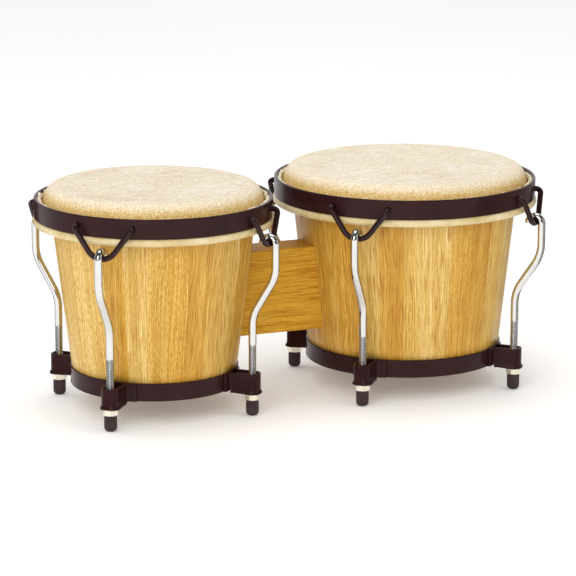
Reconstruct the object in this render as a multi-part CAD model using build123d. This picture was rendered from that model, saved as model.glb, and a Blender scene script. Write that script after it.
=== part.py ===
from build123d import *
import math
import os
from dataclasses import dataclass

# Bongo drums: a small drum (macho) and a large drum (hembra), each a tapered wooden shell of
# glued staves, joined by a centre block. Millimetres. +Z is up and the feet stand on Z = 0.
# +X runs from the macho to the hembra. The origin is the centre of the footprint's box.

# ---- driving dimensions ----------------------------------------------------------------------
CENTRE_DISTANCE = 224.0     # between the two drum axes
LUG_ANGLES = (45, 135, 225, 315)

HEAD_TOP = 184.0            # playing surface
SKIN = 1.4                  # thickness of the rawhide
SHOULDER_RADIUS = 11.5      # where the skin rolls over the bearing edge
SKIN_LIFT = 0.4             # free height between the bearing edge and the skin

RIM_TOP = 174.3
RIM_BOTTOM = 158.4
RIM_WALL = 2.5
RIM_EDGE = 0.8              # rounding of the rim's edges

ROLL_RADIUS = 3.1           # skin rolled round the flesh hoop, under the rim
ROLL_INSET = 2.0            # rim's outer radius to the roll's centre circle
COLLAR_ANGLE = 30           # degrees up the roll's inner side, where the collar joins it
COLLAR_LEAN = 6.3           # how much further out the collar is at the roll than at the top

SHELL_BOTTOM = 20.9
SHELL_WALL = 12.0
STAVES = 14
BEARING_ROUND = 9.0         # outer edge of the shell's top
BEARING_INNER_ROUND = 1.5
BAND_TOP = 35.4
BAND_WALL = 1.8
BAND_EDGE = 0.5

ROD_DIAMETER = 6.35         # quarter-inch rod, 20 threads to the inch
ROD_END = 4.0               # lower end, inside the foot and clear of its floor
ROD_LOW_CORNER = 83.0       # heights between which the rod cranks outward
ROD_HIGH_CORNER = 116.0
ROD_CRANK_RADIUS = 32.0
HOOK_RADIUS = 5.6           # bend of the hook, on the rod's centre line

LOOP_DIAMETER = 4.6
LOOP_HOLE_DIAMETER = 5.2
LOOP_HOLE_SPACING = 47.0
LOOP_HOLE_HEIGHT = 166.4
LOOP_STANDOFF = 5.0         # rim's outer face to the loop's legs
LOOP_CORNER_RADIUS = 4.0
LOOP_DROP = 24.0            # holes to the bottom of the loop
LOOP_BEND_RADIUS = 14.0
LOOP_HEAD_DIAMETER = 6.4    # upset head on each end, inside the rim
LOOP_HEAD_THICKNESS = 1.2

FOOT_DIAMETER = 10.4
FOOT_FLAT = 4.0             # flat on the foot's rounded end
FOOT_TOP = 13.4
FOOT_FLOOR = 3.0            # rubber under the foot's bore
NUT_FLATS = 11.11           # seven-sixteenths inch
NUT_HEIGHT = 3.97           # five thirty-seconds of an inch
NUT_CHAMFER = 0.35
FIT = 0.05                  # running fit of rod in nut and foot, and of nut on washer
WASHER_DIAMETER = 12.4
WASHER_THICKNESS = 1.0

EAR_WALL = 1.8
EAR_WIDTH = 14.2
EAR_FRONT = 6.2             # rod axis to the ear's outer face
EAR_FRONT_RADIUS = 5.6
EAR_LIP = 1.4               # how far the ear's floor stands out round its wall
EAR_TAB = 7.5               # length of each tab along the band
EAR_ROUND = 2.5             # inner corner between an ear's leg and its tab
EAR_HOLE_DIAMETER = 7.4
EAR_ROOT = 4.0              # how far the ear's plan is drawn into the band before it is cut back

BLOCK_HALF_THICKNESS = 15.5
BLOCK_BOTTOM = 54.0
BLOCK_TOP = 124.0
BLOCK_EDGE = 1.2
TIE_ROD_DIAMETER = 6.35
TIE_HOLE_DIAMETER = 6.7
TIE_HEIGHTS = (72.0, 106.0)
SADDLE_DIAMETER = 24.0
SADDLE_THICKNESS = 2.5      # at its thinnest
TIE_ROD_PROUD = 2.0         # rod end beyond its nut


@dataclass
class Drum:
    """What differs between the two drums.

    The hook circle is where the loops' bottoms are, and the rod circle where the rods pass the ears.
    """
    name: str
    x: float
    rim_radius: float
    band_radius: float
    low_radius: float
    top_radius: float
    hook_circle: float
    rod_circle: float
    block_direction: int    # +1 when the block lies towards +X


MACHO_RIM_RADIUS = 96.3
HEMBRA_RIM_RADIUS = 108.8
HALF_LENGTH = (CENTRE_DISTANCE + MACHO_RIM_RADIUS + HEMBRA_RIM_RADIUS) / 2
MACHO = Drum(
    name="macho",
    x=MACHO_RIM_RADIUS - HALF_LENGTH,
    rim_radius=MACHO_RIM_RADIUS,
    band_radius=66.6,
    low_radius=67.4,
    top_radius=85.4,
    hook_circle=100.4,
    rod_circle=86.1,
    block_direction=1,
)
HEMBRA = Drum(
    name="hembra",
    x=HALF_LENGTH - HEMBRA_RIM_RADIUS,
    rim_radius=HEMBRA_RIM_RADIUS,
    band_radius=79.8,
    low_radius=80.4,
    top_radius=95.8,
    hook_circle=114.1,
    rod_circle=97.9,
    block_direction=-1,
)

SHELL_TOP = HEAD_TOP - SKIN - SKIN_LIFT
WASHER_BOTTOM = FOOT_TOP + NUT_HEIGHT + 2 * FIT
EAR_BOTTOM = WASHER_BOTTOM + WASHER_THICKNESS
HOOK_CENTRE = LOOP_HOLE_HEIGHT - LOOP_DROP


# ---- helpers ---------------------------------------------------------------------------------
def upright(points):
    """A closed outline of (radius, height) points, standing in the XZ plane."""
    return Plane.XZ * make_face(Polyline(*points, close=True))


def tube(inner, outer, bottom, top):
    """A plain ring round the Z axis."""
    return Pos(0, 0, bottom) * extrude(Circle(outer) - Circle(inner), top - bottom)


def round_vertices(face, where, radius):
    """Round the corners of a face that stand at the (x, z) places given."""
    corners = [v for v in face.vertices() if any(math.hypot(v.X - x, v.Z - z) < 0.01 for x, z in where)]
    return fillet(corners, radius)


def rounded_run(points, radii):
    """Edges along straight runs through the points, each inner corner an arc of its radius."""
    points = [Vector(*p) for p in points]
    edges = []
    start = points[0]
    for before, corner, after, radius in zip(points, points[1:], points[2:], radii):
        back = (before - corner).normalized()
        ahead = (after - corner).normalized()
        half_turn = (math.pi - math.radians(back.get_angle(ahead))) / 2
        tangent = radius * math.tan(half_turn)
        bisector = (back + ahead).normalized()
        middle = corner + bisector * (radius / math.cos(half_turn) - radius)
        edges.append(Line(start, corner + back * tangent))
        edges.append(ThreePointArc(corner + back * tangent, middle, corner + ahead * tangent))
        start = corner + ahead * tangent
    edges.append(Line(start, points[-1]))
    return edges


def bar(edges, diameter):
    """A round bar along joined edges."""
    path = Wire(edges)
    section = Plane(path @ 0, z_dir=path % 0) * Circle(diameter / 2)
    return sweep(section, path=path)


def shell_radius(drum, z):
    """Outer radius of the shell's cone at height z."""
    slope = (drum.top_radius - drum.low_radius) / (SHELL_TOP - BAND_TOP)
    return drum.low_radius + slope * (z - BAND_TOP)


def shell_cone(drum, inset):
    """The solid cone inside the shell's outer surface, or that far inside it."""
    low = drum.low_radius - inset
    top = drum.top_radius - inset
    return upright([(0, BAND_TOP), (low, BAND_TOP), (top, SHELL_TOP), (0, SHELL_TOP)])


def tie_bores(diameter):
    """Bars along X where the tie rods run, right through both shells' inner sides."""
    return [Pos(0, 0, z) * Rot(0, 90, 0) * Cylinder(diameter / 2, CENTRE_DISTANCE) for z in TIE_HEIGHTS]


# ---- wood ------------------------------------------------------------------------------------
def shell(drum):
    """Tapered staves glued edge to edge, turned down at the foot for the band."""
    inner_low = drum.band_radius - SHELL_WALL
    inner_top = drum.top_radius - SHELL_WALL
    outline = upright([
        (inner_low, SHELL_BOTTOM),
        (drum.band_radius, SHELL_BOTTOM),
        (drum.band_radius, BAND_TOP),
        (drum.low_radius, BAND_TOP),
        (drum.top_radius, SHELL_TOP),
        (inner_top, SHELL_TOP),
    ])
    outline = round_vertices(outline, [(drum.top_radius, SHELL_TOP)], BEARING_ROUND)
    outline = round_vertices(outline, [(inner_top, SHELL_TOP)], BEARING_INNER_ROUND)
    width = 360 / STAVES
    stave = Rot(0, 0, -width / 2) * revolve(outline, Axis.Z, width)
    facing = 0 if drum.block_direction > 0 else 180
    staves = []
    for index in range(STAVES):
        piece = Pos(drum.x, 0, 0) * Rot(0, 0, facing + index * width) * stave
        if index == 0:
            for bore in tie_bores(TIE_HOLE_DIAMETER):
                piece = piece - bore
        staves.append(piece.solid())
    return staves


def centre_block():
    """Hardwood block between the shells, its ends hollowed to their cones."""
    height = BLOCK_TOP - BLOCK_BOTTOM
    middle = Pos((MACHO.x + HEMBRA.x) / 2, 0, (BLOCK_TOP + BLOCK_BOTTOM) / 2)
    block = middle * Box(CENTRE_DISTANCE, 2 * BLOCK_HALF_THICKNESS, height)
    block = fillet(block.edges().filter_by(Axis.X), BLOCK_EDGE)
    for drum in (MACHO, HEMBRA):
        block = block - Pos(drum.x, 0, 0) * revolve(shell_cone(drum, 0), Axis.Z)
    for bore in tie_bores(TIE_HOLE_DIAMETER):
        block = block - bore
    return block.solid()


# ---- tie rods through the block --------------------------------------------------------------
def saddle_face(drum, z):
    """Distance from the drum's axis to the flat face of the saddle at height z."""
    narrow = shell_radius(drum, z - SADDLE_DIAMETER / 2) - SHELL_WALL
    return math.sqrt(narrow ** 2 - (SADDLE_DIAMETER / 2) ** 2) - SADDLE_THICKNESS


def saddles(drum):
    """Washers with one face hollowed to lie inside the shell and one flat face for the nut."""
    hollow = Pos(drum.x, 0, 0) * revolve(shell_cone(drum, SHELL_WALL), Axis.Z)
    pieces = []
    for z in TIE_HEIGHTS:
        near = saddle_face(drum, z)
        depth = drum.top_radius - near
        x = drum.x + drum.block_direction * (near + depth / 2)
        piece = Pos(x, 0, z) * Rot(0, 90, 0) * Cylinder(SADDLE_DIAMETER / 2, depth)
        piece = piece & hollow
        piece = piece - Pos(x, 0, z) * Rot(0, 90, 0) * Cylinder(TIE_HOLE_DIAMETER / 2, 2 * depth)
        pieces.append(piece.solid())
    return pieces


def tie_rods():
    """Threaded rods that clamp both shells to the block."""
    rods = []
    for z in TIE_HEIGHTS:
        beyond = NUT_HEIGHT + TIE_ROD_PROUD
        left = MACHO.x + saddle_face(MACHO, z) - beyond
        right = HEMBRA.x - saddle_face(HEMBRA, z) + beyond
        rod = Pos((left + right) / 2, 0, z) * Rot(0, 90, 0) * Cylinder(TIE_ROD_DIAMETER / 2, right - left)
        rods.append(rod.solid())
    return rods


def hex_nut(bore):
    """A hexagon nut with chamfered corners, standing on Z = 0."""
    corner = NUT_FLATS / math.sqrt(3)
    blank = extrude(RegularPolygon(NUT_FLATS / 2, 6, major_radius=False), NUT_HEIGHT)
    turned = Pos(0, 0, NUT_HEIGHT / 2) * Cylinder(corner, NUT_HEIGHT)
    turned = chamfer(turned.edges(), NUT_CHAMFER, 2 * NUT_CHAMFER)
    return blank & turned - extrude(Circle(bore / 2), NUT_HEIGHT)


def tie_nuts():
    """Nuts on the tie rods' ends, inside the shells."""
    nuts = []
    for drum in (MACHO, HEMBRA):
        for z in TIE_HEIGHTS:
            x = drum.x + drum.block_direction * saddle_face(drum, z)
            away = Rot(0, -90 * drum.block_direction, 0)
            nut = Pos(x, 0, z) * away * hex_nut(TIE_ROD_DIAMETER)
            nuts.append(nut.solid())
    return nuts


# ---- head ------------------------------------------------------------------------------------
def roll_centre(drum):
    """Radius and height of the centre circle of the rolled skin."""
    return drum.rim_radius - ROLL_INSET, RIM_BOTTOM - ROLL_RADIUS


def head(drum):
    """Rawhide: flat top, rounded shoulder, collar inside the rim, rolled round the flesh hoop."""
    roll_r, roll_z = roll_centre(drum)
    join = math.radians(COLLAR_ANGLE)
    collar_end = roll_z + ROLL_RADIUS * math.sin(join)
    collar_radius = roll_r - ROLL_RADIUS * math.cos(join) + SKIN / 2
    corner = collar_radius - COLLAR_LEAN
    lean = math.atan2(collar_radius - corner, HEAD_TOP - collar_end)
    sideways = SKIN / math.cos(lean)
    inner_corner = corner - sideways + SKIN * math.tan(lean)
    section = upright([
        (0, HEAD_TOP),
        (corner, HEAD_TOP),
        (collar_radius, collar_end),
        (collar_radius - sideways, collar_end),
        (inner_corner, HEAD_TOP - SKIN),
        (0, HEAD_TOP - SKIN),
    ])
    section = round_vertices(section, [(corner, HEAD_TOP)], SHOULDER_RADIUS)
    section = round_vertices(section, [(inner_corner, HEAD_TOP - SKIN)], SHOULDER_RADIUS - SKIN)
    ring = Plane.XZ * Pos(roll_r, roll_z) * (Circle(ROLL_RADIUS) - Circle(ROLL_RADIUS - SKIN))
    skin = revolve(section, Axis.Z) + revolve(ring, Axis.Z)
    return Pos(drum.x, 0, 0) * skin


def flesh_hoop(drum):
    """Round wire hoop inside the rolled edge of the skin."""
    roll_r, roll_z = roll_centre(drum)
    return Pos(drum.x, 0, roll_z) * Torus(roll_r, ROLL_RADIUS - SKIN)


def loop_hole_turn(drum):
    """Angle from a lug to each of its two loop holes."""
    return math.degrees(math.asin(LOOP_HOLE_SPACING / 2 / drum.rim_radius))


def rim(drum):
    """Flat steel counter hoop that bears on the flesh hoop, drilled for the loops."""
    ring = tube(drum.rim_radius - RIM_WALL, drum.rim_radius, RIM_BOTTOM, RIM_TOP)
    ring = fillet(ring.edges().filter_by(GeomType.CIRCLE), RIM_EDGE)
    for lug in LUG_ANGLES:
        for side in (-1, 1):
            turn = Rot(0, 0, lug + side * loop_hole_turn(drum))
            drill = Pos(drum.rim_radius, 0, LOOP_HOLE_HEIGHT) * Rot(0, 90, 0)
            ring = ring - turn * drill * Cylinder(LOOP_HOLE_DIAMETER / 2, 4 * RIM_WALL)
    return Pos(drum.x, 0, 0) * ring


# ---- tuning hardware, each drawn for a lug on +X ----------------------------------------------
def loop(drum):
    """Wire loop: two ends through the rim, legs outside it, and a round bottom for the hook."""
    turn = math.radians(loop_hole_turn(drum))
    inside = drum.rim_radius - RIM_WALL - LOOP_HEAD_THICKNESS
    outside = drum.rim_radius + LOOP_STANDOFF
    half_width = outside * math.sin(turn)
    shoulder = outside * math.cos(turn)
    to_centre = math.hypot(half_width, LOOP_DROP - LOOP_BEND_RADIUS)
    slope = math.asin(LOOP_BEND_RADIUS / to_centre) + math.atan2(LOOP_DROP - LOOP_BEND_RADIUS, half_width)
    depth = half_width * math.tan(slope)
    vertex = shoulder + (drum.hook_circle - shoulder) * depth / LOOP_DROP
    ends = [(inside * math.cos(turn), side * inside * math.sin(turn), LOOP_HOLE_HEIGHT) for side in (-1, 1)]
    corners = [(shoulder, side * half_width, LOOP_HOLE_HEIGHT) for side in (-1, 1)]
    bottom = (vertex, 0, LOOP_HOLE_HEIGHT - depth)
    points = [ends[0], corners[0], bottom, corners[1], ends[1]]
    radii = [LOOP_CORNER_RADIUS, LOOP_BEND_RADIUS, LOOP_CORNER_RADIUS]
    wire = bar(rounded_run(points, radii), LOOP_DIAMETER)
    for side in (-1, 1):
        place = Rot(0, 0, side * math.degrees(turn)) * Pos(inside, 0, LOOP_HOLE_HEIGHT) * Rot(0, 90, 0)
        wire = wire + place * Cylinder(LOOP_HEAD_DIAMETER / 2, LOOP_HEAD_THICKNESS)
    return wire


def tuning_rod(drum):
    """Rod with a half-round hook over the loop's bottom, cranked in to the ear and threaded."""
    centre = drum.hook_circle
    tip = (centre - HOOK_RADIUS, 0, HOOK_CENTRE)
    crown = (centre, 0, HOOK_CENTRE + HOOK_RADIUS)
    shank = (centre + HOOK_RADIUS, 0, HOOK_CENTRE)
    high = (shank[0], 0, ROD_HIGH_CORNER)
    low = (drum.rod_circle, 0, ROD_LOW_CORNER)
    end = (drum.rod_circle, 0, ROD_END)
    edges = [ThreePointArc(tip, crown, shank)]
    edges += rounded_run([shank, high, low, end], [ROD_CRANK_RADIUS, ROD_CRANK_RADIUS])
    return bar(edges, ROD_DIAMETER)


def tuning_nut(drum):
    """Nut under the ear that draws the rod down, drawn with a flat facing outward."""
    return Pos(drum.rod_circle, 0, FOOT_TOP + FIT) * Rot(0, 0, 30) * hex_nut(ROD_DIAMETER + 2 * FIT)


def washer(drum):
    """Flat washer between the ear and the nut."""
    inner = EAR_HOLE_DIAMETER / 2
    return Pos(drum.rod_circle, 0, 0) * tube(inner, WASHER_DIAMETER / 2, WASHER_BOTTOM, EAR_BOTTOM)


def foot(drum):
    """Rubber foot: a round-ended cap over the rod's lower end."""
    radius = FOOT_DIAMETER / 2
    flat = FOOT_FLAT / 2
    round_end = radius - flat
    bore = ROD_DIAMETER / 2 + FIT
    outline = upright([
        (0, 0),
        (radius, 0),
        (radius, FOOT_TOP),
        (bore, FOOT_TOP),
        (bore, FOOT_FLOOR),
        (0, FOOT_FLOOR),
    ])
    outline = round_vertices(outline, [(radius, 0)], round_end)
    return Pos(drum.rod_circle, 0, 0) * revolve(outline, Axis.Z)


def ear_plan(drum, grow):
    """Plan of the ear's strap, grown by a distance, with its front corners rounded."""
    back = drum.band_radius + BAND_WALL - EAR_ROOT
    front = drum.rod_circle + EAR_FRONT + grow
    plan = Pos((back + front) / 2, 0) * Rectangle(front - back, EAR_WIDTH + 2 * grow)
    return fillet(plan.vertices().sort_by(Axis.X)[-2:], EAR_FRONT_RADIUS + grow)


def tab_plan(radius):
    """Plan of the part of a disc that reaches a tab's length to each side of the ear."""
    spread = math.tan((EAR_WIDTH / 2 + EAR_TAB) / radius)
    far = 2 * radius
    wedge = make_face(Polyline((0, 0), (far, -far * spread), (far, far * spread), close=True))
    return Circle(radius) & wedge


def ear(drum):
    """Bent steel ear: a strap round the rod with a tab each side on the band, and a floor."""
    band = drum.band_radius + BAND_WALL
    tab_radius = band + EAR_WALL
    plan = ear_plan(drum, 0) + tab_plan(tab_radius)
    leg = EAR_WIDTH / 2
    where_leg_leaves = math.sqrt(tab_radius ** 2 - leg ** 2)
    hollows = [v for v in plan.vertices() if math.dist((v.X, abs(v.Y)), (where_leg_leaves, leg)) < 0.01]
    plan = fillet(hollows, EAR_ROUND)
    walls = Pos(0, 0, EAR_BOTTOM) * extrude(plan - ear_plan(drum, -EAR_WALL), BAND_TOP - EAR_BOTTOM)
    floor = Pos(0, 0, EAR_BOTTOM) * extrude(ear_plan(drum, EAR_LIP), EAR_WALL)
    hole = Pos(drum.rod_circle, 0, EAR_BOTTOM) * Cylinder(EAR_HOLE_DIAMETER / 2, 4 * EAR_WALL)
    return (walls + floor) - hole - Cylinder(band, 4 * BAND_TOP)


def bottom_band(drum):
    """Steel band round the foot of the shell."""
    ring = tube(drum.band_radius, drum.band_radius + BAND_WALL, SHELL_BOTTOM, BAND_TOP)
    outer = ring.edges().filter_by(GeomType.CIRCLE).sort_by(SortBy.RADIUS)[-2:]
    return Pos(drum.x, 0, 0) * fillet(outer, BAND_EDGE)


# ---- writing ---------------------------------------------------------------------------------
def at_lug(drum, angle, piece):
    """Turn a piece drawn on +X round its drum to a lug."""
    return Pos(drum.x, 0, 0) * Rot(0, 0, angle) * piece


def save(node, solids):
    """Write one node: a single solid, or a group of them."""
    shape = solids[0] if len(solids) == 1 else Compound(children=list(solids))
    export_step(shape, f"parts/{node}.step")


def save_drum(drum):
    """All the nodes of one drum. Lugs are numbered anticlockwise seen from above."""
    save(f"{drum.name}_shell", shell(drum))
    save(f"{drum.name}_band", [bottom_band(drum).solid()])
    save(f"{drum.name}_head", [head(drum).solid()])
    save(f"{drum.name}_flesh_hoop", [flesh_hoop(drum).solid()])
    save(f"{drum.name}_rim", [rim(drum).solid()])
    save(f"{drum.name}_saddles", saddles(drum))
    save(f"{drum.name}_washers", [at_lug(drum, angle, washer(drum)).solid() for angle in LUG_ANGLES])
    lug_pieces = {"loop": loop, "rod": tuning_rod, "nut": tuning_nut, "foot": foot, "ear": ear}
    for name, make in lug_pieces.items():
        piece = make(drum)
        for number, angle in enumerate(LUG_ANGLES, start=1):
            save(f"{drum.name}_{name}_{number}", [at_lug(drum, angle, piece).solid()])


os.makedirs("parts", exist_ok=True)
for each in (MACHO, HEMBRA):
    save_drum(each)
save("centre_block", [centre_block()])
save("tie_rods", tie_rods())
save("tie_rod_nuts", tie_nuts())
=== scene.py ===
import math
import random

import bmesh
import bpy
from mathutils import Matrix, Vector, noise


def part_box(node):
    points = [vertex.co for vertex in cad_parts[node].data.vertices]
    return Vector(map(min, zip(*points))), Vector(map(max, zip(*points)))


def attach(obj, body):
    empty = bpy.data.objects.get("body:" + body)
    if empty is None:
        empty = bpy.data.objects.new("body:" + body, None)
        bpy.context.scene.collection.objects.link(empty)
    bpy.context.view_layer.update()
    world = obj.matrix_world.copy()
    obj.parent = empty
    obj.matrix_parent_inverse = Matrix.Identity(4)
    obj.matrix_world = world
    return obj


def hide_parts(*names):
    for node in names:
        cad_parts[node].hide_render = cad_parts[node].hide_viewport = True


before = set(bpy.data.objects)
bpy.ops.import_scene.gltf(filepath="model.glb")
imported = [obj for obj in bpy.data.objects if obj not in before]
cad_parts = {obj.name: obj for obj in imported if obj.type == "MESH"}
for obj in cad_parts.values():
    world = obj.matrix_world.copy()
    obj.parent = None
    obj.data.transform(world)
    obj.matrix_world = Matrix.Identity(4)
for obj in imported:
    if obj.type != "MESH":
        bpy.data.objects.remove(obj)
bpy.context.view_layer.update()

MM = 0.001

# ---- the drums' sizes in metres, which are the CAD's where the CAD has the feature --------------
LUG_ANGLES = (45, 135, 225, 315)
STAVES = 14
STAVE_SEGMENTS = 16                 # steps of the turned mesh in one stave
SHELL_WALL = 12.0 * MM
BEARING_ROUND = 9.0 * MM
BEARING_INNER_ROUND = 1.5 * MM
SKIN = 1.4 * MM
SHOULDER_RADIUS = 11.5 * MM
ROLL_RADIUS = 3.1 * MM
ROLL_INSET = 2.0 * MM
COLLAR_ANGLE = math.radians(30)
COLLAR_LEAN = 6.3 * MM
RIM_WALL = 2.5 * MM
EAR_WALL = 1.8 * MM
EAR_WIDTH = 14.2 * MM
EAR_FRONT = 6.2 * MM
EAR_FRONT_RADIUS = 5.6 * MM
EAR_LIP = 1.4 * MM
EAR_TAB = 7.5 * MM
EAR_ROUND = 2.5 * MM
EAR_HOLE_RADIUS = 3.7 * MM
ROD_RADIUS = 3.175 * MM
HOOK_RADIUS = 5.6 * MM
ROD_CRANK_RADIUS = 32.0 * MM
ROD_LOW_CORNER = 83.0 * MM
ROD_HIGH_CORNER = 116.0 * MM
THREAD_TOP = 58.0 * MM
THREAD_PITCH = 1.27 * MM
THREAD_DEPTH = 0.42 * MM
BAND_WALL = 1.8 * MM
FOOT_BORE_DEPTH = 8.0 * MM

# ---- unevenness of the hide, and its tucked edge, which only this model has ---------------------
DRAPE_SIZE = 18.0 * MM
TUCK_GAP = 0.2 * MM
TUCK_THICKNESS = 2.2 * MM
TUCK_INSET = 1.0 * MM
TUCK_TONE = 0.45
FOLD_SIZE = 2.3 * MM
WAVE_SIZE = 9.0 * MM

# ---- viewpoint and light ------------------------------------------------------------------------
VIEW_TURN = math.radians(23.52)     # the camera stands this far to the left of the front
VIEW_RISE = math.radians(13.21)
VIEW_ROLL = math.radians(0.192)
VIEW_DISTANCE = 2.5237
VIEW_LENS = 190.91
VIEW_AIM_FROM_MACHO = 0.11835       # how far to the right of the macho's axis the camera aims
VIEW_AIM_HEIGHT = 0.08696
DIM_SIDE = math.radians(75)         # where the soft light is weakest: right and a little behind
CARD_HEIGHT = 0.22
CARD_END = 0.30                     # how far behind the middle the reflected cards reach
FLOOR_HALF = 6.0


# ---- mesh helpers -------------------------------------------------------------------------------
def smoothstep(low, high, value):
    """0 below low, 1 above high, and smooth between."""
    t = min(max((value - low) / (high - low), 0.0), 1.0)
    return t * t * (3 - 2 * t)


def arc(centre, radius, start, end, steps):
    """Points on an arc from start to end degrees, both ends included."""
    turns = [math.radians(start + (end - start) * i / steps) for i in range(steps + 1)]
    return [(centre[0] + radius * math.cos(t), centre[1] + radius * math.sin(t)) for t in turns]


def new_piece(name, vertices, faces, material):
    """A smooth-shaded mesh object in the scene."""
    mesh = bpy.data.meshes.new(name)
    mesh.from_pydata(vertices, [], faces)
    mesh.materials.append(material)
    mesh.update()
    piece = bpy.data.objects.new(name, mesh)
    bpy.context.collection.objects.link(piece)
    for polygon in mesh.polygons:
        polygon.use_smooth = True
    return piece


def lathe(name, outline, x, segments, material, shift=None):
    """Turns a closed (radius, height) outline round the vertical axis at x.

    The outline runs with the solid on its left. shift(angle, radius, height) may move a point.
    Where the outline touches the axis, the points there become one.
    """
    count = len(outline)
    vertices = []
    for i in range(segments):
        angle = 2 * math.pi * i / segments
        for radius, height in outline:
            if shift:
                radius, height = shift(angle, radius, height)
            vertices.append((x + radius * math.cos(angle), radius * math.sin(angle), height))
    faces = []
    for i in range(segments):
        this = i * count
        after = (i + 1) % segments * count
        for j in range(count):
            k = (j + 1) % count
            faces.append((this + j, after + j, after + k, this + k))
    piece = new_piece(name, vertices, faces, material)
    map_grain(piece, outline, segments)
    if min(radius for radius, height in outline) == 0:
        close_poles(piece)
    return piece


def map_grain(piece, outline, segments):
    """The UV map "grain" of a turned piece: metres round it and metres along its outline."""
    widest = max(radius for radius, height in outline)
    along = [0.0]
    for (r0, z0), (r1, z1) in zip(outline, outline[1:] + outline[:1]):
        along.append(along[-1] + math.hypot(r1 - r0, z1 - z0))
    layer = piece.data.uv_layers.new(name="grain").data
    loop = 0
    for i in range(segments):
        u0 = 2 * math.pi * widest * i / segments
        u1 = 2 * math.pi * widest * (i + 1) / segments
        for v0, v1 in zip(along, along[1:]):
            for u, v in ((u0, v0), (u1, v0), (u1, v1), (u0, v1)):
                layer[loop].uv = (u, v)
                loop += 1


def close_poles(piece):
    """Joins vertices that are in one place."""
    work = bmesh.new()
    work.from_mesh(piece.data)
    bmesh.ops.remove_doubles(work, verts=work.verts, dist=0.001 * MM)
    work.to_mesh(piece.data)
    work.free()
    piece.data.update()


def run_through(points, radii, steps):
    """Points of straight runs through the (x, z) points, with each inner corner an arc."""
    points = [Vector(p) for p in points]
    line = [points[0]]
    for before, corner, after, radius in zip(points, points[1:], points[2:], radii):
        back = (before - corner).normalized()
        ahead = (after - corner).normalized()
        half_turn = (math.pi - back.angle(ahead)) / 2
        middle = corner + (back + ahead).normalized() * radius / math.cos(half_turn)
        start = corner + back * radius * math.tan(half_turn) - middle
        end = corner + ahead * radius * math.tan(half_turn) - middle
        for i in range(steps + 1):
            line.append(middle + radius * start.normalized().slerp(end.normalized(), i / steps))
    line.append(points[-1])
    return line


def tube(name, line, sides, material, radius_at):
    """A round bar along (x, z) points in the XZ plane, its start chamfered.

    radius_at(height, turn) gives its radius.
    """
    vertices = []
    across = Vector((0, 1, 0))
    for i, point in enumerate(line):
        before = line[max(i - 1, 0)]
        after = line[min(i + 1, len(line) - 1)]
        along = Vector((after[0] - before[0], 0, after[1] - before[1])).normalized()
        out = across.cross(along)
        for j in range(sides):
            turn = 2 * math.pi * j / sides
            radius = radius_at(point[1], turn) * (0.82 if i == 0 else 1.0)
            away = math.cos(turn) * out + math.sin(turn) * across
            vertices.append(Vector((point[0], 0, point[1])) + radius * away)
    return new_piece(name, vertices, bar_faces(len(line), sides), material)


def bar_faces(rings, sides):
    """Faces that join rings of vertices one after another, with both ends closed."""
    faces = []
    for i in range(rings - 1):
        for j in range(sides):
            k = (j + 1) % sides
            faces.append((i * sides + j, i * sides + k, (i + 1) * sides + k, (i + 1) * sides + j))
    last = (rings - 1) * sides
    faces.append(tuple(range(sides - 1, -1, -1)))
    faces.append(tuple(range(last, last + sides)))
    return faces


def place_at_lug(piece, x, angle):
    """Turns a piece drawn on +X round its drum, keeping the object itself at the origin."""
    turn = math.radians(angle)
    cosine, sine = math.cos(turn), math.sin(turn)
    for vertex in piece.data.vertices:
        px, py, pz = vertex.co
        vertex.co = (x + px * cosine - py * sine, px * sine + py * cosine, pz)
    piece.data.update()


def copy_to_lugs(shape, drum, piece_name, node_name, body):
    """Puts a copy of a piece drawn on +X at each of the drum's lugs, and removes the pattern."""
    for number, angle in enumerate(LUG_ANGLES, start=1):
        piece = shape.copy()
        piece.data = shape.data.copy()
        piece.name = f"{drum.name}_{piece_name}_{number}"
        bpy.context.collection.objects.link(piece)
        place_at_lug(piece, drum.x, angle)
        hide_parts(f"{drum.name}_{node_name}_{number}")
        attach(piece, body)
    bpy.data.objects.remove(shape)


def point_values(piece, name, value_at):
    """Gives a piece a number at every vertex, value_at(vertex), for its material to read."""
    values = piece.data.attributes.new(name, "FLOAT", "POINT").data
    for vertex in piece.data.vertices:
        values[vertex.index].value = value_at(vertex)


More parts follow.
